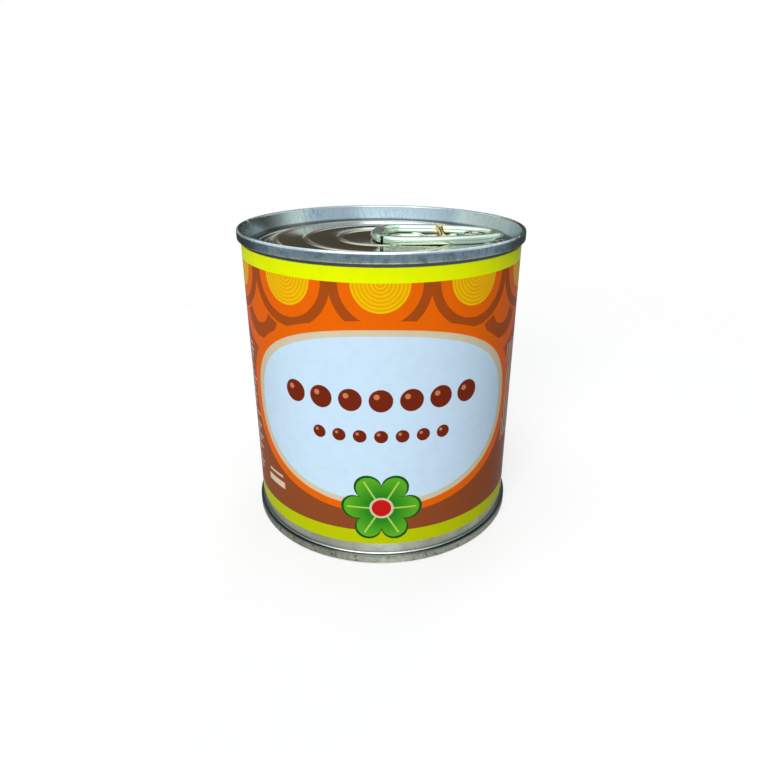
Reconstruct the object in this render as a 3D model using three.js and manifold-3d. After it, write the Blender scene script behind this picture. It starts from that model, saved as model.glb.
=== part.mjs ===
// A small round food can: a tinplate body under a paper label, a double-seamed end at the top and
// bottom, and a ring-pull tab riveted to the ringed easy-open lid. The can is shut, so it is solid.
// Millimetres, +Z up. The origin is the middle of the base, on the surface the can stands on.
import * as THREE from "three";
import { mergeVertices } from "three/addons/utils/BufferGeometryUtils.js";
import Module from "manifold-3d";

// Overall size
const CAN_HEIGHT = 82;
const SEAM_RADIUS = 37.95;
const BODY_RADIUS = 36.85;
const ROUND_SEGMENTS = 64;
const CLEARANCE = 0.1;

// Double seam, alike at both ends. Depths at an end run inwards from the seam's crest
const SEAM_HEIGHT = 2.6;
const SEAM_INNER_RADIUS = 36.7;
const SEAM_EDGE_ROUND = 0.35;
const CREST_ROUND = 0.6;

// Sunk panel of an end: a groove at the foot of the wall, a low shelf, then the raised middle
const END_DEPTH = 6.3;
const GROOVE_RADIUS = 34.4;
const GROOVE_ROUND = 0.7;
const GROOVE_DEPTH = 5.3;
const SHELF_RADIUS = 33.4;
const SHELF_DEPTH = 4.4;
const PANEL_RADIUS = 29.9;
const PANEL_STEP = 0.8;
const PANEL_DEPTH = 3.6;
const BEAD_WIDTH = 2.4;
const BEAD_RISE = 0.2;
const LID_BEAD_RADII = [28.4, 20.3, 11.5];
const BASE_BEAD_RADII = [24, 15];

// Paper label
const LABEL_TOP = 78.48;
const LABEL_BOTTOM = 5.86;
const LABEL_THICKNESS = 0.12;
const LABEL_GAP = 0.05;

// Pull tab, laid along +X from its finger ring over the lid's middle to its nose near the rim
const TAB_BOTTOM = CAN_HEIGHT - PANEL_DEPTH + BEAD_RISE + 0.15;
const TAB_HEIGHT = 1.6;
const TAB_ROUND = 0.6;
const TAB_TAIL = -3;
const TAB_NOSE = 32.5;
const TAB_WIDEST = 6;
const TAB_HALF_WIDTH = 11.4;
const TAB_RAIL = 3.4;
const CROSS_BAR_X = 16;
const CROSS_BAR_WIDTH = 2.4;
const HOLE_CORNER = 1.6;
const NOSE_HOLE_HALF_WIDTH = 6.6;
const NOSE_HOLE_END = 28.8;

// Tongue of the tab, and the lid's own rivet that holds it
const TONGUE_START = 20.8;
const TONGUE_HALF_WIDTH = 4.4;
const TONGUE_RAISE = 0.1;
const TONGUE_THICKNESS = 0.5;
const RIVET_X = 25;
const RIVET_STEM = 2.1;
const RIVET_HEAD = 3.1;
const RIVET_HEAD_HEIGHT = 0.6;
const RIVET_HEAD_EDGE = 0.35;
const RIVET_SEGMENTS = 24;
const RIVET_ROOT = 0.5;
const RIVET_GAP = 0.3;
const RIVET_HEAD_GAP = 0.15;

const CURVE_STEPS = 8;

const wasm = await Module();
wasm.setup();

function solidOf(geometry) {
  const bare = geometry.clone();
  bare.deleteAttribute("normal");
  bare.deleteAttribute("uv");
  const merged = mergeVertices(bare);
  const mesh = new wasm.Mesh({
    numProp: 3,
    vertProperties: merged.attributes.position.array,
    triVerts: new Uint32Array(merged.index.array),
  });
  return new wasm.Manifold(mesh);
}

function geometryOf(solid) {
  const { vertProperties, triVerts } = solid.getMesh();
  const geometry = new THREE.BufferGeometry();
  geometry.setAttribute("position", new THREE.BufferAttribute(vertProperties, 3));
  geometry.setIndex(new THREE.BufferAttribute(triVerts, 1));
  geometry.computeVertexNormals();
  return geometry;
}

// Points of an arc round (x, y), angles in degrees, both ends included
function arc(x, y, radius, from, to, steps) {
  const curve = new THREE.EllipseCurve(
    x, y, radius, radius,
    THREE.MathUtils.degToRad(from), THREE.MathUtils.degToRad(to), to < from,
  );
  return curve.getPoints(steps).map((p) => [p.x, p.y]);
}

// Turns [radius, height] points about the can's axis. The outside of the section runs upwards
function turned(profile, segments = ROUND_SEGMENTS) {
  const points = profile.map(([radius, height]) => new THREE.Vector2(Math.max(radius, 0), height));
  return new THREE.LatheGeometry(points, segments).rotateX(Math.PI / 2);
}

// A low pressed ring in an end's panel, from its outer foot to its inner foot
function bead(radius) {
  const half = BEAD_WIDTH / 2;
  return [
    [radius + half, PANEL_DEPTH],
    [radius + half / 2, PANEL_DEPTH - BEAD_RISE],
    [radius - half / 2, PANEL_DEPTH - BEAD_RISE],
    [radius - half, PANEL_DEPTH],
  ];
}

// Section of an end with the strip of wall folded into its seam, as [radius, depth below the crest]
function endSection(beadRadii) {
  return [
    [0, END_DEPTH],
    [BODY_RADIUS, END_DEPTH],
    [BODY_RADIUS, SEAM_HEIGHT],
    ...arc(SEAM_RADIUS - SEAM_EDGE_ROUND, SEAM_HEIGHT - SEAM_EDGE_ROUND, SEAM_EDGE_ROUND, 90, 0, 2),
    ...arc(SEAM_RADIUS - CREST_ROUND, CREST_ROUND, CREST_ROUND, 0, -90, 4),
    ...arc(SEAM_INNER_RADIUS + CREST_ROUND, CREST_ROUND, CREST_ROUND, -90, -180, 4),
    ...arc(GROOVE_RADIUS, GROOVE_DEPTH - GROOVE_ROUND, GROOVE_ROUND, 0, 180, 4),
    [SHELF_RADIUS, SHELF_DEPTH],
    [PANEL_RADIUS + PANEL_STEP, SHELF_DEPTH],
    [PANEL_RADIUS, PANEL_DEPTH],
    ...beadRadii.flatMap(bead),
    [0, PANEL_DEPTH],
  ];
}

function topEnd() {
  const profile = endSection(LID_BEAD_RADII).map(([radius, depth]) => [radius, CAN_HEIGHT - depth]);
  return geometryOf(solidOf(turned(profile)).add(solidOf(rivet())));
}

function bottomEnd() {
  return turned(endSection(BASE_BEAD_RADII).reverse());
}

function canBody() {
  const low = END_DEPTH + CLEARANCE;
  const high = CAN_HEIGHT - END_DEPTH - CLEARANCE;
  return turned([[0, low], [BODY_RADIUS, low], [BODY_RADIUS, high], [0, high]]);
}

function paperLabel() {
  const inner = BODY_RADIUS + LABEL_GAP;
  const outer = inner + LABEL_THICKNESS;
  return turned([
    [inner, LABEL_BOTTOM], [outer, LABEL_BOTTOM], [outer, LABEL_TOP], [inner, LABEL_TOP],
    [inner, LABEL_BOTTOM],
  ]);
}

// Rivet drawn up from the lid's panel, with its head over the tab's tongue
function rivet() {
  const root = CAN_HEIGHT - PANEL_DEPTH - RIVET_ROOT;
  const headBottom = TAB_BOTTOM + TONGUE_RAISE + TONGUE_THICKNESS + RIVET_HEAD_GAP;
  const headTop = headBottom + RIVET_HEAD_HEIGHT;
  const profile = [
    [0, root], [RIVET_STEM, root], [RIVET_STEM, headBottom], [RIVET_HEAD, headBottom],
    [RIVET_HEAD, headTop - RIVET_HEAD_EDGE], [RIVET_HEAD - RIVET_HEAD_EDGE, headTop], [0, headTop],
  ];
  return turned(profile, RIVET_SEGMENTS).translate(RIVET_X, 0, 0);
}

// Egg-shaped outline of the tab, round at the tail and drawn in towards the nose
function tabOutline() {
  const outline = new THREE.Shape();
  const tailPull = 0.62 * TAB_HALF_WIDTH;
  const noseTaper = 0.7 * TAB_HALF_WIDTH;
  const shoulder = 0.5 * (TAB_WIDEST + TAB_NOSE);
  outline.moveTo(TAB_TAIL, 0);
  outline.bezierCurveTo(TAB_TAIL, -tailPull, 0, -TAB_HALF_WIDTH, TAB_WIDEST, -TAB_HALF_WIDTH);
  outline.bezierCurveTo(shoulder, -TAB_HALF_WIDTH, TAB_NOSE, -noseTaper, TAB_NOSE, 0);
  outline.bezierCurveTo(TAB_NOSE, noseTaper, shoulder, TAB_HALF_WIDTH, TAB_WIDEST, TAB_HALF_WIDTH);
  outline.bezierCurveTo(0, TAB_HALF_WIDTH, TAB_TAIL, tailPull, TAB_TAIL, 0);
  return outline;
}

function fingerHole() {
  const hole = new THREE.Path();
  const tail = TAB_TAIL + TAB_RAIL;
  const bar = CROSS_BAR_X - CROSS_BAR_WIDTH / 2;
  const half = TAB_HALF_WIDTH - TAB_RAIL;
  hole.moveTo(tail, 0);
  hole.bezierCurveTo(tail, 0.62 * half, 2, half, TAB_WIDEST, half);
  hole.lineTo(bar - HOLE_CORNER, half);
  hole.quadraticCurveTo(bar, half, bar, half - HOLE_CORNER);
  hole.lineTo(bar, HOLE_CORNER - half);
  hole.quadraticCurveTo(bar, -half, bar - HOLE_CORNER, -half);
  hole.lineTo(TAB_WIDEST, -half);
  hole.bezierCurveTo(2, -half, tail, -0.62 * half, tail, 0);
  return hole;
}

function noseHole() {
  const hole = new THREE.Path();
  const bar = CROSS_BAR_X + CROSS_BAR_WIDTH / 2;
  const half = NOSE_HOLE_HALF_WIDTH;
  const shoulder = 0.75 * NOSE_HOLE_END;
  hole.moveTo(NOSE_HOLE_END, 0);
  hole.bezierCurveTo(NOSE_HOLE_END, -0.7 * half, shoulder, -half, bar + HOLE_CORNER, -half);
  hole.quadraticCurveTo(bar, -half, bar, HOLE_CORNER - half);
  hole.lineTo(bar, half - HOLE_CORNER);
  hole.quadraticCurveTo(bar, half, bar + HOLE_CORNER, half);
  hole.bezierCurveTo(shoulder, half, NOSE_HOLE_END, 0.7 * half, NOSE_HOLE_END, 0);
  return hole;
}

function tongue() {
  const end = NOSE_HOLE_END + TAB_RAIL / 3;
  const plate = new THREE.Shape();
  plate.moveTo(TONGUE_START, -TONGUE_HALF_WIDTH);
  plate.lineTo(RIVET_X, -TONGUE_HALF_WIDTH);
  plate.lineTo(end, -TONGUE_HALF_WIDTH / 2);
  plate.lineTo(end, TONGUE_HALF_WIDTH / 2);
  plate.lineTo(RIVET_X, TONGUE_HALF_WIDTH);
  plate.lineTo(TONGUE_START, TONGUE_HALF_WIDTH);
  plate.closePath();
  const hole = new THREE.Path();
  hole.absarc(RIVET_X, 0, RIVET_STEM + RIVET_GAP, 0, 2 * Math.PI, true);
  plate.holes.push(hole);
  const settings = { depth: TONGUE_THICKNESS, bevelEnabled: false, curveSegments: RIVET_SEGMENTS };
  return new THREE.ExtrudeGeometry(plate, settings).translate(0, 0, TAB_BOTTOM + TONGUE_RAISE);
}

function pullTab() {
  const outline = tabOutline();
  outline.holes.push(fingerHole(), noseHole());
  const frame = new THREE.ExtrudeGeometry(outline, {
    depth: TAB_HEIGHT - 2 * TAB_ROUND,
    bevelThickness: TAB_ROUND,
    bevelSize: TAB_ROUND,
    bevelOffset: -TAB_ROUND,
    bevelSegments: 3,
    curveSegments: CURVE_STEPS,
  });
  frame.translate(0, 0, TAB_BOTTOM + TAB_ROUND);
  return geometryOf(solidOf(frame).add(solidOf(tongue())));
}

const tinplate = new THREE.MeshStandardMaterial({ color: 0xa3a49a, roughness: 0.35, metalness: 1 });
const lidMetal = new THREE.MeshStandardMaterial({ color: 0xa8a898, roughness: 0.25, metalness: 1 });
const tabMetal = new THREE.MeshStandardMaterial({ color: 0xbcc9b4, roughness: 0.3, metalness: 1 });
const paper = new THREE.MeshStandardMaterial({ color: 0x89421e, roughness: 0.5, metalness: 0 });

const can = new THREE.Group();

function addPiece(name, geometry, material) {
  const mesh = new THREE.Mesh(geometry, material);
  mesh.name = name;
  can.add(mesh);
}

addPiece("can_body", canBody(), tinplate);
addPiece("bottom_end", bottomEnd(), tinplate);
addPiece("top_end", topEnd(), lidMetal);
addPiece("pull_tab", pullTab(), tabMetal);
addPiece("paper_label", paperLabel(), paper);

export default can;
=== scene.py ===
"""The looks of a shut food can: bright lid with a pull tab, dull seams and a printed label."""

import math

import bmesh
import bpy
from mathutils import Matrix, Vector
from mathutils.geometry import interpolate_bezier


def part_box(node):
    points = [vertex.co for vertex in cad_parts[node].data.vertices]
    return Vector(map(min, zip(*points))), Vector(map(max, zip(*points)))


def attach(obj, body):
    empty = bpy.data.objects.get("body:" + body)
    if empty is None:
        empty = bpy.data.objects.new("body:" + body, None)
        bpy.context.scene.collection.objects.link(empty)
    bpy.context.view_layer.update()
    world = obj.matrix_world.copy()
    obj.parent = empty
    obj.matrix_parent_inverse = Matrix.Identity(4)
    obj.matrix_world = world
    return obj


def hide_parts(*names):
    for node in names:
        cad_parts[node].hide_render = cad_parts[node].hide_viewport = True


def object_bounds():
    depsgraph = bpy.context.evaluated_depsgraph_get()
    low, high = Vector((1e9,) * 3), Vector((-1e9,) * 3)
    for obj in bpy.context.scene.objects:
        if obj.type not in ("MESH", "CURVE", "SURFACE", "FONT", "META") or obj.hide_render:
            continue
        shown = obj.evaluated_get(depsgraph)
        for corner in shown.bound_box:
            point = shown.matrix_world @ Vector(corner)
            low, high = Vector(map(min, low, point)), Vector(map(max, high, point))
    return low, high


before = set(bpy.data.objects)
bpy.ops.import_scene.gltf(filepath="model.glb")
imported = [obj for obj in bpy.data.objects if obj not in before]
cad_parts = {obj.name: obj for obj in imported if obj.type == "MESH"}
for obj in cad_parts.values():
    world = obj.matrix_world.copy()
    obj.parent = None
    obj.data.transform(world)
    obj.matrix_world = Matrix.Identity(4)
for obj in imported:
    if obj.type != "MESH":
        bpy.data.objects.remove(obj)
cad_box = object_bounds()

# Sizes from the frame, in millimetres
MM = 0.001
CAN_HEIGHT = cad_box[1].z / MM
SEAM_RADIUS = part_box("top_end")[1].x / MM
BODY_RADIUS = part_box("can_body")[1].x / MM
LABEL_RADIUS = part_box("paper_label")[1].x / MM
LABEL_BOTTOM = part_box("paper_label")[0].z / MM
LABEL_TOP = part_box("paper_label")[1].z / MM
TAB_LOW, TAB_HIGH = (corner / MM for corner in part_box("pull_tab"))

# Seams and sunk ends. Depths run inwards from a seam's crest
ROUND_STEPS = 256
SHARP_ANGLE = math.radians(42)
SEAM_HEIGHT = 2.6
SEAM_WIDTH = 1.2
SEAM_EDGE = 0.32
PLUG_RADIUS = BODY_RADIUS - 0.4
PLUG_DEPTH = 6.3
WALL_THICKNESS = 0.35
FOOT_FLARE = 0.45
GROOVE_RADIUS = 34.4
GROOVE_ROUND = 0.7
GROOVE_DEPTH = 5.3
SHELF_RADIUS = 33.2
SHELF_DEPTH = 4.4
SCORE_RADIUS = 32.6
SCORE_WIDTH = 0.36
SCORE_DEPTH = 0.12
PANEL_RADIUS = 29.9
PANEL_STEP = 0.9
PANEL_DEPTH = 3.6
BEAD_WIDTH = 2.5
BEAD_RISE = 0.24
LID_BEADS = (28.4, 20.3, 11.5)
BASE_BEADS = (24.0, 15.0)

# Pull tab, along +X
TAB_WIDEST = 6.0
TAB_RAIL = 3.4
ROUND_POWER = 2.6
SQUARE_POWER = 7.0
TAB_LIP = 0.9
TAB_LIP_HEIGHT = 0.9
CROSS_BAR_X = 16.0
CROSS_BAR_WIDTH = 1.3
CROSS_BAR_FLARE = 1.6
CROSS_BAR_LIFT = 0.15
CROSS_BAR_THICKNESS = 1.4
CROSS_BAR_ROUND = 0.55
RAIL_DROP = 0.27
LIP_DROP = 0.25
NOTCH_X = 0.0
NOTCH_INSET = 0.6
HEM_START = 17.5
HEM_END = 29.5
HEM_DROP = 0.3
TONGUE_START = 20.8
TONGUE_END = 29.8
TONGUE_HALF_WIDTH = 4.4
TONGUE_THICKNESS = 0.5
TONGUE_LIFT = 0.1
TONGUE_ROUND = 0.15
RIVET_X = 25.0
RIVET_RADIUS = 3.1
RIVET_TOP = TAB_LOW.z + 1.0

# Printed label: lengths round the can are measured from the middle of its front
LABEL_HALF_TURN = math.pi * LABEL_RADIUS
TOP_BAND = 75.1
BOTTOM_BAND = 9.97
SCALLOPS = 10
PANEL_MIDDLE = 41.0
PANEL_HALF_WIDTH = 36.0
PANEL_HALF_HEIGHT = 22.0
PANEL_SQUARENESS = 2.2
BADGE_CREAM_RING = 1.5
BADGE_ORANGE_RING = 3.6
RULE_PITCH = 1.7
RULE_THICKNESS = 0.6
RULES_MIDDLE = 20.5 * RULE_PITCH
RULES_HALF_HEIGHT = 11.5 * RULE_PITCH
RULES_REACH = 18.0
UPRIGHT_RULES_MIDDLE = 42.0
RULE_SHORTEST = 13.0
RULE_SPREAD = 5.0
SHORT_BARS_PLACE = -33.0
BOX_MIDDLE = 20.0
BOX_HALF_WIDTH = 11.0
BOX_HALF_HEIGHT = 6.0
BOX_MARGIN = 1.2
BOX_BAR_PITCH = 1.5
BOX_BAR_THICKNESS = 0.7
ROSETTE_MIDDLE = 17.0
ROSETTE_RADIUS = 10.5
ROSETTE_OUTLINE = 0.7
ROSETTE_CREAM_RADIUS = 3.1
ROSETTE_RED_RADIUS = 2.5
COLUMN_MIDDLE = LABEL_HALF_TURN / 2
LAP_ANGLE = math.radians(38)
LAP_WIDTH = 8.0
LAP_THICKNESS = 0.1

# The photograph's camera: place in metres, angles in degrees, lens in millimetres
CAMERA_PLACE = (0.001911, -0.166056, 0.108003)
CAMERA_YAW = 1.118
CAMERA_PITCH = 23.659
CAMERA_ROLL = 0.508
CAMERA_LENS = 28.528
CAMERA_SHIFT = -16 / 768


def srgb(red, green, blue):
    """A colour given as a screen shows it, 0 to 255, as the linear values that shaders take."""
    shares = [channel / 255 for channel in (red, green, blue)]
    linear = [c / 12.92 if c <= 0.04045 else ((c + 0.055) / 1.055) ** 2.4 for c in shares]
    return (*linear, 1.0)


# Inks
YELLOW = srgb(236, 252, 0)
# The bottom band takes a darker yellow than the top band
OLIVE_YELLOW = srgb(190, 202, 0)
ORANGE = srgb(238, 104, 4)
AMBER = srgb(236, 164, 4)
PALE_AMBER = srgb(248, 200, 6)
CHOCOLATE = srgb(168, 76, 20)
DARK_INK = srgb(116, 38, 18)
CARAMEL = srgb(206, 128, 84)
PALE_PAPER = srgb(206, 232, 252)
PALE_INK = srgb(226, 208, 186)
CREAM = srgb(216, 204, 172)
DARK_GREEN = srgb(16, 84, 22)
GREEN = srgb(30, 128, 28)
PALE_GREEN = srgb(96, 178, 38)
VEIN_GREEN = srgb(176, 218, 90)
RED = srgb(200, 26, 22)

GROUND_LOW = srgb(142, 74, 38)
GROUND_HIGH = srgb(178, 80, 26)
BLACK = (0, 0, 0, 1)
WHITE = (1, 1, 1, 1)

# Metals of the lid, the seams and the tab
PANEL_DULL = srgb(202, 197, 178)
PANEL_BRIGHT = srgb(216, 211, 193)
# Painted reflection and shade on the pressed rings: pale near the front, tan at the side, dark at
# the back
RING_PALE = srgb(206, 198, 176)
RING_TAN = srgb(210, 178, 128)
RING_DARK = srgb(66, 60, 50)
# Painted shade along the panel's far edge and at the foot of the rim's wall
EDGE_DARK = srgb(62, 66, 64)
RIM_BRIGHT = srgb(208, 218, 222)
RIM_BLUE = srgb(150, 172, 190)
RIM_MOTTLED = srgb(118, 134, 150)
RIM_LEFT_SHADE = srgb(98, 112, 114)
RIM_RIDGE = srgb(84, 94, 98)
BARE_NICK = srgb(225, 226, 222)
PLATE_CLEAN = srgb(218, 220, 212)
PLATE_STAINED = srgb(176, 174, 158)
SEAM_DULL = srgb(140, 138, 120)
SEAM_DIRT_AND_SHADE = srgb(92, 92, 78)
SPECK = srgb(70, 64, 52)
# Painted shade in the corner over the bottom seam and above the label
SHADE_GREY = srgb(58, 64, 68)
TAB_PALE = srgb(216, 233, 217)
TAB_GREENISH = srgb(198, 216, 198)
BAR_PAINTED_SHEEN = srgb(252, 232, 168)
SLIT_SHADE = srgb(40, 44, 52)

# Light of the room, linear, as the metals reflect it and as it falls on matt surfaces
ROOM_FRONT = (0.5, 0.6, 0.66, 1)
ROOM_BEHIND = (0.075, 0.066, 0.048, 1)
LOW_GLOW = (0.56, 0.64, 0.56, 1)
SIDE_GLOW = (0.95, 1.07, 0.98, 1)
HORIZON_GLOW = (0.5, 0.57, 0.6, 1)
CEILING = (1.1, 1.18, 1.22, 1)
WINDOW = (1.85, 2.2, 2.25, 1)
CEILING_LAMP = (2.8, 2.85, 2.85, 1)
TABLE_FAR = (0.24, 0.3, 0.35, 1)
TABLE_CLOSE = (0.85, 0.9, 0.82, 1)
TABLE_BESIDE = (0.42, 0.43, 0.35, 1)
TABLE_SHADED = (0.06, 0.07, 0.075, 1)
SOFT_ABOVE = (0.34, 0.35, 0.36, 1)
SOFT_BELOW = (0.14, 0.14, 0.14, 1)

# Rows of scallops, drawn in turn: shift in pitches, drop, radius and colour of each ring
SCALLOP_RINGS = (
    (0.5, 9.0, 12.0, ORANGE),
    (0.5, 9.0, 8.4, CHOCOLATE),
    (0.5, 9.0, 4.6, ORANGE),
    (0.0, 0.0, 12.6, ORANGE),
    (0.0, 0.0, 12.0, CHOCOLATE),
    (0.0, 0.0, 9.6, ORANGE),
)
SCALLOP_HOLLOW = 6.8
HOLLOW_LINE_PITCH = 0.9

# Rows of drops on the badge: height, pitch, number and radius
DROP_ROWS = ((47.0, 7.4, 7, 2.9), (37.5, 5.2, 7, 1.7))

# Short bars low on the left: height, half length and half thickness
SHORT_BARS = ((19.3, 3.4, 0.35), (16.6, 4.0, 1.0))


class Field:
    """A value that changes over a surface. Its operators add Math nodes."""

    def __init__(self, nodes, socket):
        self.nodes = nodes
        self.socket = socket

    def __add__(self, other):
        return self.nodes.math("ADD", self, other)

    def __sub__(self, other):
        return self.nodes.math("SUBTRACT", self, other)

    def __rsub__(self, other):
        return self.nodes.math("SUBTRACT", other, self)

    def __mul__(self, other):
        return self.nodes.math("MULTIPLY", self, other)

    def __truediv__(self, other):
        return self.nodes.math("DIVIDE", self, other)

    def __pow__(self, other):
        return self.nodes.math("POWER", self, other)

    def __mod__(self, other):
        return self.nodes.math("FLOORED_MODULO", self, other)

    def __abs__(self):
        return self.nodes.math("ABSOLUTE", self)

    __radd__ = __add__
    __rmul__ = __mul__


class Nodes:
    """The nodes of a material or of the world, made by short calls."""

    def __init__(self, tree):
        self.tree = tree

    def set(self, socket, value):
        if isinstance(value, Field):
            self.tree.links.new(value.socket, socket)
        else:
            socket.default_value = value

    def node(self, kind, inputs=None, output=0, **settings):
        made = self.tree.nodes.new(kind)
        for name, value in settings.items():
            setattr(made, name, value)
        for name, value in (inputs or {}).items():
            self.set(made.inputs[name], value)
        return Field(self, made.outputs[output])

    def math(self, operation, *values, clamp=False):
        inputs = dict(enumerate(values))
        return self.node("ShaderNodeMath", inputs, operation=operation, use_clamp=clamp)

    def vector(self, x, y, z=0.0):
        return self.node("ShaderNodeCombineXYZ", {"X": x, "Y": y, "Z": z})

    def split(self, vector):
        made = self.node("ShaderNodeSeparateXYZ", {"Vector": vector}).socket.node
        return [Field(self, socket) for socket in made.outputs]

    def mix(self, amount, base, top):
        inputs = {0: amount, 6: base, 7: top}
        return self.node("ShaderNodeMix", inputs, output=2, data_type="RGBA")

    def smooth(self, value, low, high):
        inputs = {"Value": value, "From Min": low, "From Max": high}
        return self.node("ShaderNodeMapRange", inputs, interpolation_type="SMOOTHSTEP")

    def noise(self, vector, scale, detail=2.0, roughness=0.5):
        inputs = {"Vector": vector, "Scale": scale, "Detail": detail, "Roughness": roughness}
        return self.node("ShaderNodeTexNoise", inputs)

    def random(self, value):
        return self.node("ShaderNodeTexWhiteNoise", {"W": value}, noise_dimensions="1D")

    def bump(self, height, strength, distance):
        inputs = {"Height": height, "Strength": strength, "Distance": distance}
        return self.node("ShaderNodeBump", inputs)


class Finish(Nodes):
    """A material with one Principled shader, read in millimetres of the can."""

    def __init__(self, name):
        self.material = bpy.data.materials.new(name)
        self.material.use_nodes = True
        super().__init__(self.material.node_tree)
        self.shader = self.tree.nodes["Principled BSDF"]
        place = self.node("ShaderNodeTexCoord", output="Object")
        self.place = self.node(
            "ShaderNodeVectorMath", {0: place, 1: (1 / MM,) * 3}, operation="MULTIPLY"
        )
        self.x, self.y, self.z = self.split(self.place)
        self.radius = self.math("SQRT", self.x * self.x + self.y * self.y)
        self.angle = self.math("ARCTAN2", self.x, self.y * -1.0)

    def surface(self, values):
        for name, value in values.items():
            self.set(self.shader.inputs[name], value)
        return self.material


class Label:
    """The print: plain shapes laid over each other, in millimetres round the can and up it."""

    def __init__(self, finish):
        self.finish = finish
        self.round = finish.angle * LABEL_RADIUS
        self.up = finish.z
        turn = finish.math("ROUND", self.round / LABEL_HALF_TURN)
        self.along = self.round - turn * LABEL_HALF_TURN
        self.edge = LABEL_HALF_TURN / 2 - abs(self.along)
        self.colour = None
        self.ground()
        self.scallops()
        self.side_rules()
        self.side_box()
        self.badge()
        self.drops()
        self.bands()
        self.rosette()
        self.wear()

    def within(self, distance, softness=0.12):
        """1 where a signed distance in millimetres is below 0."""
        return self.finish.math("MULTIPLY_ADD", distance, -1 / softness, 0.5, clamp=True)

    def lay(self, mask, colour):
        self.colour = self.finish.mix(mask, self.colour, colour)

    def far(self, x, y):
        """Distance from the origin of two lengths."""
        return self.finish.math("SQRT", x * x + y * y)

    def larger(self, a, b):
        return self.finish.math("MAXIMUM", a, b)

    def ground(self):
        rise = self.finish.smooth(self.up, LABEL_BOTTOM, LABEL_TOP)
        self.colour = self.finish.mix(rise, GROUND_LOW, GROUND_HIGH)

    def scallops(self):
        pitch = 2 * LABEL_HALF_TURN / SCALLOPS
        for shift, drop, reach, colour in SCALLOP_RINGS:
            beside = (self.round + pitch * (0.5 + shift)) % pitch - pitch / 2
            away = self.far(beside, self.up - TOP_BAND + drop)
            self.lay(self.within(away - reach), colour)
        lines = self.finish.math("SINE", away * (2 * math.pi / HOLLOW_LINE_PITCH)) * 0.5 + 0.5
        hollow = self.within(away - SCALLOP_HOLLOW)
        self.lay(hollow, self.finish.mix(lines, AMBER, PALE_AMBER))

    def side_rules(self):
        """Plain pale rules at the can's sides, level on the left and upright on the right."""
        left = self.within(self.round)
        field = self.larger(abs(self.up - RULES_MIDDLE) - RULES_HALF_HEIGHT, self.edge - RULES_REACH)
        level = (self.edge, self.up, left)
        upright = (self.up - UPRIGHT_RULES_MIDDLE, self.edge, 1 - left)
        for lengthwise, across, side in (level, upright):
            row = self.finish.math("FLOOR", across / RULE_PITCH)
            bar = abs(across % RULE_PITCH - RULE_PITCH / 2) - RULE_THICKNESS / 2
            end = abs(lengthwise) - (RULE_SHORTEST + RULE_SPREAD * self.finish.random(row))
            rule = self.larger(self.larger(bar, end), field)
            self.lay(self.within(rule) * side, PALE_INK)
        for up, half_length, half_thickness in SHORT_BARS:
            beyond = abs(self.round - SHORT_BARS_PLACE) - half_length
            bar = self.larger(beyond, abs(self.up - up) - half_thickness)
            self.lay(self.within(bar), PALE_INK)

    def side_box(self):
        """A plain pale box with even upright bars, low on the right."""
        beside = self.round - COLUMN_MIDDLE
        box = self.larger(abs(beside) - BOX_HALF_WIDTH, abs(self.up - BOX_MIDDLE) - BOX_HALF_HEIGHT)
        self.lay(self.within(box), PALE_PAPER)
        bars = abs(beside % BOX_BAR_PITCH - BOX_BAR_PITCH / 2) - BOX_BAR_THICKNESS / 2
        self.lay(self.within(self.larger(bars, box + BOX_MARGIN)), DARK_INK)

    def badge(self):
        """The pale oval in the middle of the front and of the back, with two rings round it."""
        wide = abs(self.along / PANEL_HALF_WIDTH) ** PANEL_SQUARENESS
        high = abs((self.up - PANEL_MIDDLE) / PANEL_HALF_HEIGHT) ** PANEL_SQUARENESS
        oval = ((wide + high) ** (1 / PANEL_SQUARENESS) - 1) * PANEL_HALF_HEIGHT
        self.lay(self.within(oval - BADGE_ORANGE_RING), ORANGE)
        self.lay(self.within(oval - BADGE_CREAM_RING), CREAM)
        self.lay(self.within(oval), PALE_PAPER)

    def drops(self):
        """Two rows of round caramel drops across the badge, each with a small pale glint."""
        for middle, pitch, number, radius in DROP_ROWS:
            beside = (self.along + pitch / 2) % pitch - pitch / 2
            ends = abs(self.along) - pitch * number / 2
            rise = self.up - middle
            disc = self.larger(self.far(beside, rise) - radius, ends)
            aside = radius * 0.35
            glint = self.far(beside + aside, rise - aside) - radius * 0.24
            self.lay(self.within(disc), DARK_INK)
            self.lay(self.within(self.larger(glint, ends)), CARAMEL)

    def bands(self):
        self.lay(self.within(TOP_BAND - self.up), YELLOW)
        self.lay(self.within(self.up - BOTTOM_BAND), OLIVE_YELLOW)

    def rosette(self):
        """A six-petalled green rosette with a red middle, low on the badge."""
        rise = self.up - ROSETTE_MIDDLE
        away = self.far(self.along, rise)
        turn = self.finish.math("ARCTAN2", rise, self.along)
        petal = abs(self.finish.math("COSINE", turn * 3))
        petals = away - ROSETTE_RADIUS * (0.62 + 0.38 * petal**0.6)
        shade = self.finish.smooth(away, 2.0, ROSETTE_RADIUS)
        self.lay(self.within(petals), DARK_GREEN)
        self.lay(self.within(petals + ROSETTE_OUTLINE), self.finish.mix(shade, GREEN, PALE_GREEN))
        vein = abs(self.finish.math("SINE", turn * 3)) * away / 3 - 0.22
        self.lay(self.within(self.larger(vein, petals + 1.6)), VEIN_GREEN)
        self.lay(self.within(away - ROSETTE_CREAM_RADIUS), CREAM)
        self.lay(self.within(away - ROSETTE_RED_RADIUS), RED)

    def wear(self):
        """Faint unevenness of the ink."""
        mottle = self.finish.noise(self.finish.place, 0.35, 4.0, 0.6)
        self.lay(self.finish.smooth(mottle, 0.35, 0.8) * 0.05, BLACK)


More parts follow.
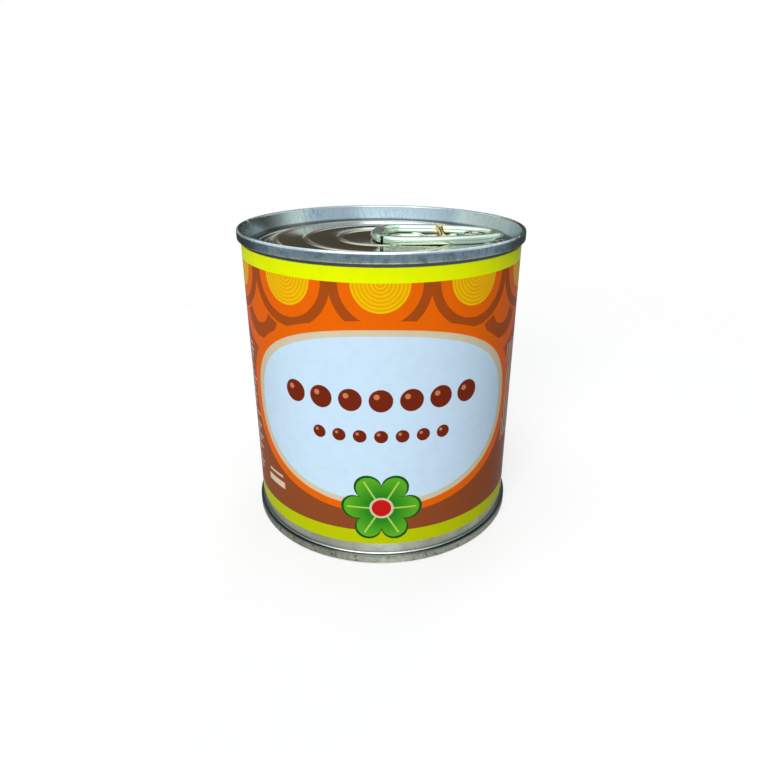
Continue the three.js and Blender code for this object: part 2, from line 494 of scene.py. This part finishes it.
def finish_piece(mesh, name, material, slot, *nodes):
    """Closes and smooths a bmesh, and makes it a piece that stands for the CAD nodes named."""
    bmesh.ops.remove_doubles(mesh, verts=mesh.verts, dist=1e-4)
    bmesh.ops.recalc_face_normals(mesh, faces=mesh.faces)
    bmesh.ops.scale(mesh, vec=(MM, MM, MM), verts=mesh.verts)
    for face in mesh.faces:
        face.smooth = True
    for edge in mesh.edges:
        edge.smooth = edge.calc_face_angle(0) < SHARP_ANGLE
    data = bpy.data.meshes.new(name)
    mesh.to_mesh(data)
    mesh.free()
    data.materials.append(material)
    piece = bpy.data.objects.new(name, data)
    bpy.context.scene.collection.objects.link(piece)
    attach(piece, "root")
    if nodes:
        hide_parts(*nodes)


def arc(x, y, radius, start, end, steps):
    """Points on an arc, angles in degrees, both ends included."""
    angles = [math.radians(start + (end - start) * i / steps) for i in range(steps + 1)]
    return [(x + radius * math.cos(a), y + radius * math.sin(a)) for a in angles]


def turn_profile(mesh, profile, centre=(0, 0, 0), angle=2 * math.pi, steps=ROUND_STEPS):
    """Spins (radius, height) points about a vertical axis. A part turn keeps its own start."""
    full = angle >= 2 * math.pi
    verts = [mesh.verts.new(Vector(centre) + Vector((r, 0, h))) for r, h in profile]
    edges = [mesh.edges.new(pair) for pair in zip(verts, verts[1:])]
    bmesh.ops.spin(
        mesh, geom=verts + edges, cent=centre, axis=(0, 0, 1), angle=angle, steps=steps,
        use_merge=full, use_duplicate=False,
    )


def bead(radius):
    """A low pressed ring, as (radius, depth) points of a raised cosine."""
    steps = 8
    points = []
    for i in range(steps + 1):
        share = i / steps
        rise = 0.5 - 0.5 * math.cos(2 * math.pi * share)
        points.append((radius + BEAD_WIDTH * (0.5 - share), PANEL_DEPTH - BEAD_RISE * rise))
    return points


def score():
    """The fine cut round the lid where it tears open."""
    half = SCORE_WIDTH / 2
    return [
        (SCORE_RADIUS + half, SHELF_DEPTH),
        (SCORE_RADIUS, SHELF_DEPTH + SCORE_DEPTH),
        (SCORE_RADIUS - half, SHELF_DEPTH),
    ]


def end_profile(beads, scored):
    """Section of an end: hidden plug, seam, wall, groove, shelf and panel, as (radius, depth)."""
    crest = SEAM_WIDTH / 2
    crest_radius = SEAM_RADIUS - crest
    panel_foot = PANEL_RADIUS + PANEL_STEP
    profile = [(0, PLUG_DEPTH), (PLUG_RADIUS, PLUG_DEPTH), (PLUG_RADIUS, SEAM_HEIGHT - 0.3)]
    profile += arc(SEAM_RADIUS - SEAM_EDGE, SEAM_HEIGHT - SEAM_EDGE, SEAM_EDGE, 100, 0, 8)
    profile += [(SEAM_RADIUS, SEAM_HEIGHT / 2 + 0.1)]
    profile += arc(crest_radius, crest, crest, 0, -180, 24)
    profile += arc(GROOVE_RADIUS, GROOVE_DEPTH - GROOVE_ROUND, GROOVE_ROUND, 0, 180, 14)
    profile += arc(SHELF_RADIUS, SHELF_DEPTH + 0.3, 0.3, -20, -90, 5)
    profile += score() if scored else []
    profile += arc(panel_foot, SHELF_DEPTH - 0.3, 0.3, 90, 135, 4)
    profile += arc(PANEL_RADIUS - 0.2, PANEL_DEPTH + 0.3, 0.3, -45, -90, 4)
    for radius in beads:
        profile += bead(radius)
    profile += [(0, PANEL_DEPTH)]
    return profile


def tab_outline(inset):
    """The tab's egg-shaped outline, moved inwards by a distance, as points round the tab."""
    tail, nose = TAB_LOW.x, TAB_HIGH.x
    half = TAB_HIGH.y
    shoulder = (TAB_WIDEST + nose) / 2
    tail_side = interpolate_bezier(
        (tail, 0), (tail, -0.62 * half), (0, -half), (TAB_WIDEST, -half), 44
    )
    nose_side = interpolate_bezier(
        (TAB_WIDEST, -half), (shoulder, -half), (nose, -0.7 * half), (nose, 0), 36
    )
    near = [*tail_side, *nose_side[1:]]
    far = [Vector((p.x, -p.y)) for p in reversed(near[1:-1])]
    outline = [*near, *far]
    moved = []
    for i, point in enumerate(outline):
        along = outline[(i + 1) % len(outline)] - outline[i - 1]
        inwards = Vector((-along.y, along.x)).normalized()
        moved.append(point + inwards * inset)
    return moved


def ring_of_loops(mesh, sections, adjust):
    """Bridges outlines of the tab at (inset, height) into a closed ring, each point adjusted."""
    loops = []
    for inset, height in sections:
        points = tab_outline(inset)
        verts = bmesh.ops.create_circle(mesh, segments=len(points), radius=1)["verts"]
        for vert, point in zip(verts, points):
            vert.co = adjust(point.x, point.y, height)
        loops.append(list({edge for vert in verts for edge in vert.link_edges}))
    for loop, following in zip(loops, loops[1:] + loops[:1]):
        bmesh.ops.bridge_loops(mesh, edges=loop + following)


def notched(x, y, z):
    """Draws the rail in at the small slit in its near side."""
    if abs(x - NOTCH_X) < 0.4 and y < -7.8:
        return x, y + NOTCH_INSET, z - 0.2
    return x, y, z


def hemmed(x, y, z):
    """Keeps the hem inside the rail except along the nose, where it reaches down to the lid."""
    if HEM_START < x < HEM_END:
        return x, y, z
    return x, y, TAB_LOW.z + 0.6 + (z - TAB_LOW.z) * 0.1


def unchanged(x, y, z):
    return x, y, z


def round_section(outer, width, low, height, steps):
    """A rail's section, round above and squarer below, as (inset, height) points."""
    points = []
    for i in range(steps):
        angle = 2 * math.pi * i / steps
        power = ROUND_POWER if math.sin(angle) > 0 else SQUARE_POWER
        across = math.copysign(abs(math.cos(angle)) ** (2 / power), math.cos(angle))
        upward = math.copysign(abs(math.sin(angle)) ** (2 / power), math.sin(angle))
        points.append((outer + width * (1 - across) / 2, low + height * (1 + upward) / 2))
    return points


def plate(mesh, shape, low, thickness, rounding, segments):
    """A thick plate over a grid: shape turns (-1..1, -1..1) into a place on the lid."""
    grid = bmesh.ops.create_grid(mesh, x_segments=8, y_segments=24, size=1)["verts"]
    for vert in grid:
        x, y = shape(vert.co.x, vert.co.y)
        vert.co = (x, y, low)
    faces = list({face for vert in grid for face in vert.link_faces})
    raised = bmesh.ops.extrude_face_region(mesh, geom=faces, use_keep_orig=True)["geom"]
    upper = [part for part in raised if isinstance(part, bmesh.types.BMVert)]
    bmesh.ops.translate(mesh, vec=(0, 0, thickness), verts=upper)
    rims = {edge for vert in [*grid, *upper] for edge in vert.link_edges}
    sharp = [edge for edge in rims if edge.calc_face_angle(0) > math.radians(60)]
    bmesh.ops.bevel(
        mesh, geom=sharp, offset=rounding, segments=segments, profile=0.5, material=-1,
        affect="EDGES",
    )


def cross_bar_shape(across, along):
    half = CROSS_BAR_WIDTH / 2 + CROSS_BAR_FLARE * along**4
    return CROSS_BAR_X + half * across, along * (TAB_HIGH.y - 1.6)


def tongue_shape(along, across):
    middle = (TONGUE_START + TONGUE_END) / 2
    narrowing = 1 - 0.3 * max(along, 0) ** 2
    half_length = (TONGUE_END - TONGUE_START) / 2
    return middle + along * half_length, across * TONGUE_HALF_WIDTH * narrowing


def make_can_body(material):
    mesh = bmesh.new()
    inner = BODY_RADIUS - WALL_THICKNESS
    low, high = SEAM_HEIGHT / 2, CAN_HEIGHT - SEAM_HEIGHT / 2
    foot = SEAM_HEIGHT + FOOT_FLARE + 0.05
    flare = arc(BODY_RADIUS + FOOT_FLARE, foot, FOOT_FLARE, 250, 180, 10)
    outside = [(flare[0][0], low), *flare, (BODY_RADIUS, high)]
    turn_profile(mesh, [(inner, low), *outside, (inner, high), (inner, low)])
    finish_piece(mesh, "body_wall", material, "tinplate", "can_body")


def make_bottom_end(material):
    mesh = bmesh.new()
    turn_profile(mesh, end_profile(BASE_BEADS, False))
    finish_piece(mesh, "base_end", material, "tinplate", "bottom_end")


def make_top_end(material):
    mesh = bmesh.new()
    turn_profile(mesh, [(r, CAN_HEIGHT - depth) for r, depth in end_profile(LID_BEADS, True)])
    finish_piece(mesh, "lid_end", material, "lid_metal", "top_end")


def make_rivet(material):
    mesh = bmesh.new()
    root = CAN_HEIGHT - PANEL_DEPTH - 0.3
    profile = [(0, root), (RIVET_RADIUS - 0.8, root), (RIVET_RADIUS - 0.5, TAB_LOW.z + 0.5)]
    profile += arc(RIVET_RADIUS - 0.4, RIVET_TOP - 0.4, 0.4, -30, 90, 8)
    profile += [(1.2, RIVET_TOP - 0.05), (0.9, RIVET_TOP - 0.2), (0, RIVET_TOP - 0.25)]
    turn_profile(mesh, profile, centre=(RIVET_X, 0, 0), steps=64)
    finish_piece(mesh, "lid_rivet", material, "lid_metal")


def make_pull_tab(material):
    mesh = bmesh.new()
    low = TAB_LOW.z
    overlap = 0.5
    rail = round_section(0, TAB_RAIL, low - RAIL_DROP, TAB_HIGH.z - low + RAIL_DROP, 24)
    lip = round_section(TAB_RAIL - overlap, TAB_LIP + overlap, low - LIP_DROP, TAB_LIP_HEIGHT, 12)
    hem = round_section(-0.2, 2.2, low - HEM_DROP, 0.9, 12)
    ring_of_loops(mesh, rail, notched)
    ring_of_loops(mesh, lip, unchanged)
    ring_of_loops(mesh, hem, hemmed)
    plate(mesh, cross_bar_shape, low + CROSS_BAR_LIFT, CROSS_BAR_THICKNESS, CROSS_BAR_ROUND, 5)
    plate(mesh, tongue_shape, low + TONGUE_LIFT, TONGUE_THICKNESS, TONGUE_ROUND, 2)
    finish_piece(mesh, "tab_ring", material, "tab_metal", "pull_tab")


def make_label(material):
    mesh = bmesh.new()
    inner = BODY_RADIUS + 0.02
    sleeve = [
        (inner, LABEL_BOTTOM), (LABEL_RADIUS, LABEL_BOTTOM), (LABEL_RADIUS, LABEL_TOP),
        (inner, LABEL_TOP), (inner, LABEL_BOTTOM),
    ]
    turn_profile(mesh, sleeve)
    finish_piece(mesh, "label_sleeve", material, "label_paper", "paper_label")


def make_label_lap(material):
    """The label's glued end, lying over its start at the back."""
    mesh = bmesh.new()
    outer = LABEL_RADIUS + LAP_THICKNESS
    strip = [
        (LABEL_RADIUS, LABEL_BOTTOM), (outer, LABEL_BOTTOM), (outer, LABEL_TOP),
        (LABEL_RADIUS, LABEL_TOP), (LABEL_RADIUS, LABEL_BOTTOM),
    ]
    turn_profile(mesh, strip, angle=LAP_WIDTH / LABEL_RADIUS, steps=12)
    bmesh.ops.remove_doubles(mesh, verts=mesh.verts, dist=1e-4)
    bmesh.ops.holes_fill(mesh, edges=mesh.edges, sides=4)
    turn = Matrix.Rotation(LAP_ANGLE, 3, "Z")
    bmesh.ops.rotate(mesh, cent=(0, 0, 0), matrix=turn, verts=mesh.verts)
    finish_piece(mesh, "label_lap", material, "label_paper")


def lid_finish():
    """Bright tinplate: a smooth ringed panel in a streaked rim with a nicked crest, and painted
    shade and reflections on rings, panel edge, rim, crest and wall foot.
    """
    finish = Finish("lid_bright_tinplate")
    wall = finish.smooth(finish.radius, GROOVE_RADIUS - 0.2, GROOVE_RADIUS + 0.8)
    crest = finish.smooth(finish.z, CAN_HEIGHT - 1.4, CAN_HEIGHT - 0.3) * wall
    drawn = finish.vector(finish.angle * SEAM_RADIUS, finish.z * 0.45)
    streak = finish.noise(drawn, 0.9, 4.0, 0.65)
    patch = finish.smooth(finish.noise(finish.place, 0.09, 2.0), 0.42, 0.66)
    spangle = finish.smooth(streak, 0.35, 0.75) * (0.25 + 0.75 * patch)
    nick = finish.smooth(finish.noise(finish.place, 0.8, 3.0, 0.7), 0.62, 0.68) * crest
    panel = finish.mix(finish.noise(finish.place, 0.3, 3.0), PANEL_DULL, PANEL_BRIGHT)
    pressed = 0.0
    for radius in LID_BEADS:
        pressed = pressed + finish.smooth(abs(finish.radius - radius), BEAD_WIDTH / 2, 0.4)
    # Painted reflection and shade on the left half of the pressed rings: pale towards the front, tan
    # at the side, dark towards the back
    near = finish.mix(finish.smooth(finish.y, -7.0, -2.0), RING_PALE, RING_TAN)
    ring_painted_light = finish.mix(finish.smooth(finish.y, 8.0, 20.0), near, RING_DARK)
    panel = finish.mix(pressed * finish.smooth(finish.x, 10.0, -4.0) * 0.7, panel, ring_painted_light)
    # Painted shade: a dark line along the panel's edge on its far half
    panel_edge_shade = finish.smooth(abs(finish.radius - PANEL_RADIUS - 0.3), 0.8, 0.35)
    panel = finish.mix(panel_edge_shade * finish.smooth(finish.y, 2.0, 16.0) * 0.85, panel, EDGE_DARK)
    rim = finish.mix(spangle, RIM_BRIGHT, RIM_BLUE)
    outside = finish.smooth(finish.radius, SEAM_RADIUS - 0.6, SEAM_RADIUS - 0.2)
    mottle = finish.smooth(finish.noise(finish.place, 0.45, 4.0, 0.7), 0.42, 0.7)
    face = finish.smooth(finish.z, CAN_HEIGHT - 0.4, CAN_HEIGHT - 0.8)
    rim = finish.mix(outside * face * mottle * 0.7, rim, RIM_MOTTLED)
    # Painted shade: the rim darker towards its left end
    rim = finish.mix(finish.smooth(finish.x, -27.0, -34.0) * 0.35, rim, RIM_LEFT_SHADE)
    # Painted shade: a dark line along the top outer edge of the crest
    crest_top_shade = finish.smooth(finish.z, CAN_HEIGHT - 0.3, CAN_HEIGHT - 0.18)
    crest_top_shade = crest_top_shade * finish.smooth(finish.radius, SEAM_RADIUS - 0.4, SEAM_RADIUS - 0.55)
    rim = finish.mix(crest_top_shade * 0.6, rim, RIM_RIDGE)
    colour = finish.mix(wall, panel, rim)
    # Painted shade at the foot of the rim's wall and in the groove below it
    foot = finish.smooth(finish.z, CAN_HEIGHT - 3.5, CAN_HEIGHT - 4.1)
    foot = foot * finish.smooth(finish.radius, SHELF_RADIUS, SHELF_RADIUS + 0.6)
    colour = finish.mix(foot * 0.8, colour, EDGE_DARK)
    return finish.surface({
        "Base Color": finish.mix(nick, colour, BARE_NICK),
        "Metallic": 1.0,
        "Roughness": 0.09 + 0.1 * pressed + wall * (0.1 + 0.1 * spangle) + 0.3 * nick,
        "Normal": finish.bump(streak * wall, 0.12, 0.05 * MM),
    })


def tinplate_finish():
    """Dull, specked tinplate with painted shade in the corner over the bottom seam and above the
    label.
    """
    finish = Finish("dull_tinplate")
    specks = finish.smooth(finish.noise(finish.place, 0.8, 4.0, 0.7), 0.57, 0.66)
    stains = finish.smooth(finish.noise(finish.place, 0.22, 3.0), 0.4, 0.75)
    seam = finish.smooth(finish.z, SEAM_HEIGHT + 0.1, SEAM_HEIGHT - 0.5)
    # Painted shade: a dark band in the corner over the bottom seam, wider towards the sides, and the
    # strip above the label
    painted_shade = finish.smooth(finish.z, SEAM_HEIGHT - 0.35, SEAM_HEIGHT - 0.15)
    painted_shade = painted_shade * finish.smooth(finish.z, SEAM_HEIGHT + 0.15, SEAM_HEIGHT + 0.02)
    side_shade = finish.smooth(abs(finish.angle), 0.1, 0.75) * 0.85
    painted_shade = painted_shade + side_shade * finish.smooth(abs(finish.z - SEAM_HEIGHT - 0.3), 0.45, 0.2)
    painted_shade = painted_shade + finish.smooth(finish.z, LABEL_TOP - 0.1, LABEL_TOP + 0.2)
    # Mottled dirt on the bottom seam, made heavier on the left by painted shade
    left = finish.smooth(finish.angle, -0.2, -1.1) * finish.smooth(finish.angle, -2.9, -2.4)
    mottle = finish.smooth(finish.noise(finish.place, 1.1, 4.0, 0.65), 0.38, 0.68)
    plate = finish.mix(stains * 0.5, PLATE_CLEAN, PLATE_STAINED)
    plate = finish.mix(seam * 0.2, plate, SEAM_DULL)
    plate = finish.mix(seam * mottle * (0.35 + 0.4 * left), plate, SEAM_DIRT_AND_SHADE)
    plate = finish.mix(specks * (0.14 + 0.6 * seam), plate, SPECK)
    return finish.surface({
        "Base Color": finish.mix(painted_shade * 0.8, plate, SHADE_GREY),
        "Metallic": 1.0,
        "Roughness": 0.3 + 0.12 * stains + 0.25 * specks,
    })


def tab_finish():
    """Satin greenish metal, with a painted golden reflection on the cross-bar and painted shade for
    a slit in the rail.
    """
    finish = Finish("tab_satin_metal")
    worn = finish.noise(finish.place, 0.35, 3.0)
    bar = finish.smooth(abs(finish.x - CROSS_BAR_X), 2.4, 0.6)
    bar = bar * finish.smooth(abs(finish.y), 11.0, 7.5)
    # Painted shade for the dark gap of the slit in the rail's near side
    slit = finish.smooth(abs(finish.x - NOTCH_X), 0.45, 0.25)
    slit = slit * finish.smooth(finish.y, -7.4, -8.0)
    colour = finish.mix(worn, TAB_PALE, TAB_GREENISH)
    # Painted reflection: a pale golden sheen on the cross-bar
    colour = finish.mix(bar * 0.8, colour, BAR_PAINTED_SHEEN)
    return finish.surface({
        "Base Color": finish.mix(slit, colour, SLIT_SHADE),
        "Metallic": 1.0,
        "Roughness": 0.22 + 0.08 * worn + 0.3 * bar + 0.4 * slit,
    })


def label_finish():
    """Matt printed paper, not quite even."""
    finish = Finish("printed_paper")
    label = Label(finish)
    paper = finish.noise(finish.place, 2.2, 3.0)
    fibres = finish.noise(finish.place, 0.05, 2.0) + paper * 0.04
    return finish.surface({
        "Base Color": label.colour,
        "Roughness": 0.5 + 0.12 * paper,
        "Specular IOR Level": 0.1,
        "Sheen Weight": 0.14,
        "Sheen Roughness": 0.3,
        "Sheen Tint": (0.78, 0.84, 1.0, 1.0),
        "Normal": finish.bump(fibres, 0.15, 0.6 * MM),
    })


def light_panel(name, place, target, size, watts):
    """A soft light that neither the camera nor a reflection shows."""
    lamp = bpy.data.lights.new(name, "AREA")
    lamp.shape = "RECTANGLE"
    lamp.size, lamp.size_y = size
    lamp.energy = watts
    panel = bpy.data.objects.new(name, lamp)
    panel.location = place
    panel.rotation_euler = (Vector(target) - Vector(place)).to_track_quat("-Z", "Y").to_euler()
    panel.visible_camera = False
    panel.visible_glossy = False
    bpy.context.scene.collection.objects.link(panel)


def make_studio():
    """A room that only reflections show: white to the camera, and soft light to matt surfaces."""
    world = bpy.data.worlds.new("studio")
    bpy.context.scene.world = world
    world.use_nodes = True
    sky = Nodes(world.node_tree)
    x, y, z = sky.split(sky.node("ShaderNodeTexCoord", output="Generated"))
    behind = sky.smooth(y, -0.25, 0.3)
    horizon = sky.smooth(z, 0.10, 0.05) * sky.smooth(y, 0.6, 0.25)
    sides = sky.smooth(abs(x), 0.6, 0.8) * sky.smooth(abs(y - 0.15), 0.55, 0.32)
    sides = sides * sky.smooth(abs(z - 0.4), 0.26, 0.14)
    low_left = sky.smooth(z, 0.3, 0.16) * sky.smooth(x, -0.24, -0.42)
    overhead = sky.smooth(z + 0.3 * behind, 0.6, 0.85) * sky.smooth(abs(x), 0.95, 0.6)
    window = sky.smooth(y + 0.35 * x, -0.6, -0.8) * sky.smooth(abs(z - 0.56), 0.26, 0.12)
    lamp = sky.smooth(abs(x + 0.1), 0.45, 0.25) * sky.smooth(y, 0.3, 0.1)
    lamp = lamp * sky.smooth(z, 0.45, 0.6)
    below = sky.smooth(z, 0.02, -0.08)
    steep = sky.smooth(z, -0.25, -0.55)
    room = sky.mix(behind, ROOM_FRONT, ROOM_BEHIND)
    room = sky.mix(low_left * behind, room, LOW_GLOW)
    room = sky.mix(sides, room, SIDE_GLOW)
    room = sky.mix(horizon, room, HORIZON_GLOW)
    room = sky.mix(overhead, room, CEILING)
    room = sky.mix(window, room, WINDOW)
    room = sky.mix(lamp, room, CEILING_LAMP)
    table = sky.mix(steep, TABLE_FAR, TABLE_CLOSE)
    table = sky.mix(sky.smooth(abs(x), 0.1, 0.55) * steep, table, TABLE_BESIDE)
    shaded = sky.smooth(y, 0.05, 0.55) * (1 - 0.6 * steep)
    table = sky.mix(shaded, table, TABLE_SHADED)
    room = sky.mix(below, room, table)
    path = sky.node("ShaderNodeLightPath").socket.node.outputs
    soft = sky.mix(below, SOFT_ABOVE, SOFT_BELOW)
    seen = sky.mix(Field(sky, path["Is Glossy Ray"]), soft, room)
    seen = sky.mix(Field(sky, path["Is Camera Ray"]), seen, WHITE)
    sky.set(world.node_tree.nodes["Background"].inputs["Color"], seen)
    middle = (0, 0, CAN_HEIGHT * MM / 2)
    light_panel("front_panel", (-0.34, -1.35, 0.72), middle, (1.0, 0.6), 20)
    light_panel("top_panel", (-0.15, -0.1, 1.4), middle, (0.9, 0.9), 7)
    light_panel("back_panel", (0.4, 1.4, 0.8), middle, (1.0, 0.6), 8)


def make_floor():
    """A pale floor that fades away outwards and is not there from below."""
    mesh = bmesh.new()
    bmesh.ops.create_grid(mesh, x_segments=1, y_segments=1, size=4)
    data = bpy.data.meshes.new("floor")
    mesh.to_mesh(data)
    mesh.free()
    finish = Finish("pale_floor")
    underneath = finish.node("ShaderNodeNewGeometry", output="Backfacing")
    fade = finish.smooth(finish.radius, 420.0, 120.0) * (1 - underneath) * 0.4
    paint = {"Base Color": (0.92, 0.92, 0.92, 1), "Roughness": 0.9, "Alpha": fade}
    data.materials.append(finish.surface(paint))
    floor = bpy.data.objects.new("floor", data)
    floor.visible_glossy = False
    floor.visible_diffuse = False
    bpy.context.scene.collection.objects.link(floor)


def make_camera():
    """The camera that took the photograph."""
    yaw, pitch, roll = (math.radians(a) for a in (CAMERA_YAW, CAMERA_PITCH, CAMERA_ROLL))
    ahead = Vector((math.sin(yaw), math.cos(yaw), 0))
    forward = ahead * math.cos(pitch) - Vector((0, 0, math.sin(pitch)))
    level = Vector((math.cos(yaw), -math.sin(yaw), 0))
    upright = level.cross(forward)
    right = level * math.cos(roll) + upright * math.sin(roll)
    up = upright * math.cos(roll) - level * math.sin(roll)
    data = bpy.data.cameras.new("photo_camera")
    data.sensor_width = 36
    data.lens = CAMERA_LENS
    data.shift_x = CAMERA_SHIFT
    data.clip_start = 0.005
    camera = bpy.data.objects.new("photo_camera", data)
    turn = Matrix((right, up, -forward)).transposed().to_4x4()
    camera.matrix_world = Matrix.Translation(CAMERA_PLACE) @ turn
    bpy.context.scene.collection.objects.link(camera)
    bpy.context.scene.camera = camera


bpy.context.scene.view_settings.view_transform = "Standard"
make_camera()
make_studio()
make_floor()
lid_metal = lid_finish()
tinplate = tinplate_finish()
make_can_body(tinplate)
make_bottom_end(tinplate)
make_top_end(lid_metal)
make_rivet(lid_metal)
make_pull_tab(tab_finish())
paper = label_finish()
make_label(paper)
make_label_lap(paper)
